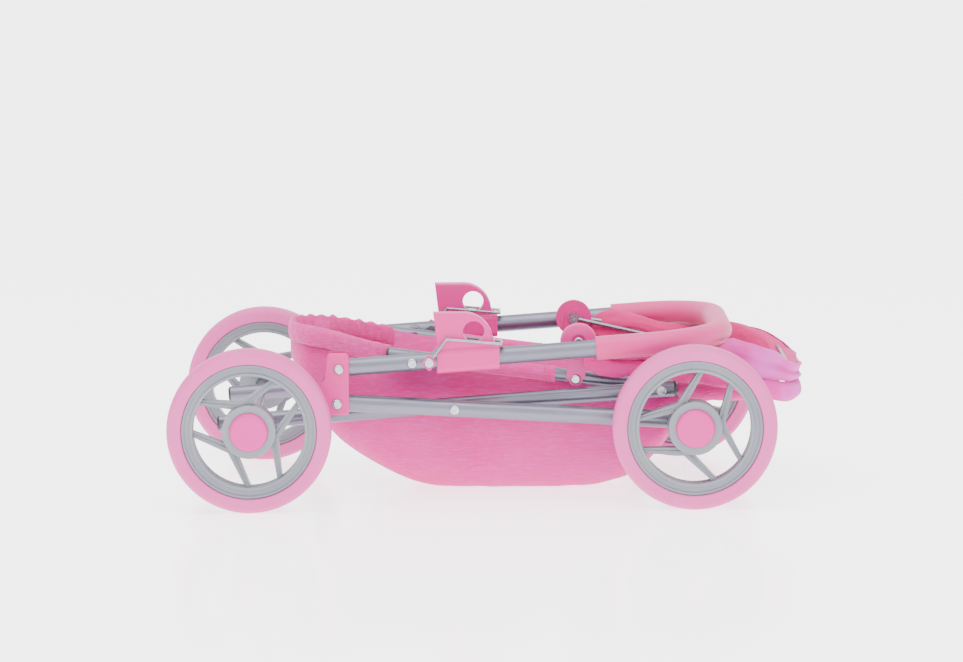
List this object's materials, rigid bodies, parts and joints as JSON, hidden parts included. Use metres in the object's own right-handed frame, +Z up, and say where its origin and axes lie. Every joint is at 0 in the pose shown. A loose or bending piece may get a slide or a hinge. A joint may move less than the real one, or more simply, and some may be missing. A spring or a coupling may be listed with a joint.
{
  "type": "doll stroller",
  "caption": "Folding doll pram, folded flat: scissor tube frame, fabric body, folded hood, foam-covered handle with lock slides, and spoked wheels.",
  "frame": {"origin": "on the floor under the middle of the folded pram", "axes": "+X towards the front, hood end; +Y to the pram's left; +Z up"},
  "size_m": [0.586, 0.34, 0.177],
  "materials": {
    "tyre_pink": "matte foam rubber",
    "rim_grey": "satin moulded",
    "plastic_pink": "satin moulded",
    "foam_pink": "closed-cell foam",
    "fabric_pink": "slubby plain weave",
    "elastic_pink": "gathered over elastic",
    "plastic_black": "matte moulded",
    "plastic_grey": "satin moulded",
    "zinc_steel": "bright zinc",
    "bright_steel": "bright drawn wire",
    "tube_grey": "silver-grey powder coat"
  },
  "bodies": {
    "rear_axle": {"rear_axle": "bright_steel", "rear_axle_spacers": "plastic_grey", "rear_axle_clips": "zinc_steel"},
    "rear_frame": {"rear_leg_left": "tube_grey", "rear_leg_right": "tube_grey", "rear_leg_plugs": "plastic_black", "scissor_bolts": "zinc_steel", "scissor_spacers": "plastic_grey", "rail_bolts": "zinc_steel", "rail_washers": "plastic_grey", "rear_leg_nuts": "zinc_steel"},
    "front_frame": {"front_leg_left": "tube_grey", "front_leg_right": "tube_grey", "front_leg_plugs": "plastic_black", "handle_bracket_left": "plastic_pink", "handle_bracket_right": "plastic_pink", "bracket_screws": "zinc_steel", "bracket_nuts": "zinc_steel", "front_axle": "bright_steel", "front_axle_spacers": "plastic_grey", "front_axle_clips": "zinc_steel"},
    "handle": {"handle_tube": "tube_grey", "foam_grip": "foam_pink", "handle_bolts": "zinc_steel", "handle_bushes": "plastic_grey", "diamond_washers": "plastic_pink", "bail_screws": "zinc_steel"},
    "pram_body": {"pram_rail": "tube_grey", "rail_tail_plugs": "plastic_black", "rail_end_nuts": "zinc_steel", "hood_arm_left": "plastic_pink", "hood_arm_right": "plastic_pink", "hood_arm_screws": "zinc_steel", "pram_bag": "fabric_pink", "foot_elastic": "elastic_pink", "rail_casings": "fabric_pink"},
    "hood_middle": {"hood_middle_bow": "bright_steel", "hood_rear_fabric": "fabric_pink"},
    "hood_front": {"hood_front_bow": "bright_steel", "hood_front_fabric": "fabric_pink", "hood_disc_left": "plastic_pink", "hood_disc_right": "plastic_pink", "hood_disc_screws": "zinc_steel"},
    "lock_slide_right": {"lock_slide_right": "plastic_pink"},
    "safety_bail_right": {"safety_bail_right": "bright_steel"},
    "lock_slide_left": {"lock_slide_left": "plastic_pink"},
    "safety_bail_left": {"safety_bail_left": "bright_steel"},
    "wheel_rear_right": {"tyre_rear_right": "tyre_pink", "rim_rear_right": "rim_grey", "hub_cap_rear_right": "plastic_pink"},
    "wheel_rear_left": {"tyre_rear_left": "tyre_pink", "rim_rear_left": "rim_grey", "hub_cap_rear_left": "plastic_pink"},
    "wheel_front_right": {"tyre_front_right": "tyre_pink", "rim_front_right": "rim_grey", "hub_cap_front_right": "plastic_pink"},
    "wheel_front_left": {"tyre_front_left": "tyre_pink", "rim_front_left": "rim_grey", "hub_cap_front_left": "plastic_pink"}
  },
  "joints": [
    {"name": "fold", "type": "hinge", "parent": "rear_axle", "child": "rear_frame", "pos_m": [-0.218, 0, 0.075], "axis": [0, -1, 0], "range_deg": [0, 43.39]},
    {"name": "scissor", "type": "hinge", "parent": "rear_frame", "child": "front_frame", "pos_m": [-0.031, 0, 0.088], "axis": [0, -1, 0], "range_deg": [-79.24, 0.1]},
    {"name": "handle_fold", "type": "hinge", "parent": "front_frame", "child": "handle", "pos_m": [-0.1367, 0, 0.1264], "axis": [0, -1, 0], "range_deg": [-0.1, 156.32]},
    {"name": "rail_fold", "type": "hinge", "parent": "rear_frame", "child": "pram_body", "pos_m": [0.1594, 0, 0.1012], "axis": [0, -1, 0], "range_deg": [-38.14, 0.1]},
    {"name": "hood_middle_fold", "type": "hinge", "parent": "pram_body", "child": "hood_middle", "pos_m": [0.0837, 0, 0.1456], "axis": [0, -1, 0], "range_deg": [-0.1, 50.5]},
    {"name": "hood_front_fold", "type": "hinge", "parent": "hood_middle", "child": "hood_front", "pos_m": [0.0837, 0, 0.1456], "axis": [0, -1, 0], "range_deg": [-0.1, 50.5]},
    {"name": "lock_slide_right_travel", "type": "slide", "parent": "handle", "child": "lock_slide_right", "axis": [0.9977, 0, 0.0684], "range_m": [0, 0.012]},
    {"name": "safety_bail_right_lift", "type": "hinge", "parent": "handle", "child": "safety_bail_right", "pos_m": [-0.0539, -0.115, 0.1324], "axis": [0, -1, 0], "range_deg": [-0.1, 56.5]},
    {"name": "lock_slide_left_travel", "type": "slide", "parent": "handle", "child": "lock_slide_left", "axis": [0.9977, 0, 0.0684], "range_m": [0, 0.012]},
    {"name": "safety_bail_left_lift", "type": "hinge", "parent": "handle", "child": "safety_bail_left", "pos_m": [-0.0539, 0.115, 0.1324], "axis": [0, -1, 0], "range_deg": [-0.1, 56.5]},
    {"name": "wheel_rear_right_spin", "type": "hinge", "parent": "rear_axle", "child": "wheel_rear_right", "pos_m": [-0.218, -0.155, 0.075], "axis": [0, -1, 0], "continuous": true},
    {"name": "wheel_rear_left_spin", "type": "hinge", "parent": "rear_axle", "child": "wheel_rear_left", "pos_m": [-0.218, 0.155, 0.075], "axis": [0, -1, 0], "continuous": true},
    {"name": "wheel_front_right_spin", "type": "hinge", "parent": "front_frame", "child": "wheel_front_right", "pos_m": [0.1875, -0.155, 0.075], "axis": [0, -1, 0], "continuous": true},
    {"name": "wheel_front_left_spin", "type": "hinge", "parent": "front_frame", "child": "wheel_front_left", "pos_m": [0.1875, 0.155, 0.075], "axis": [0, -1, 0], "continuous": true}
  ],
  "couplings": [
    {"joint": "scissor", "follows": "fold", "ratio": -1.8216},
    {"joint": "handle_fold", "follows": "fold", "ratio": 3.598},
    {"joint": "rail_fold", "follows": "fold", "ratio": -0.87442},
    {"joint": "hood_middle_fold", "follows": "fold", "ratio": 1.1523},
    {"joint": "hood_front_fold", "follows": "fold", "ratio": 1.1523},
    {"joint": "safety_bail_right_lift", "follows": "lock_slide_right_travel", "rad_per_m": 81.449},
    {"joint": "safety_bail_left_lift", "follows": "lock_slide_left_travel", "rad_per_m": 81.449}
  ]
}
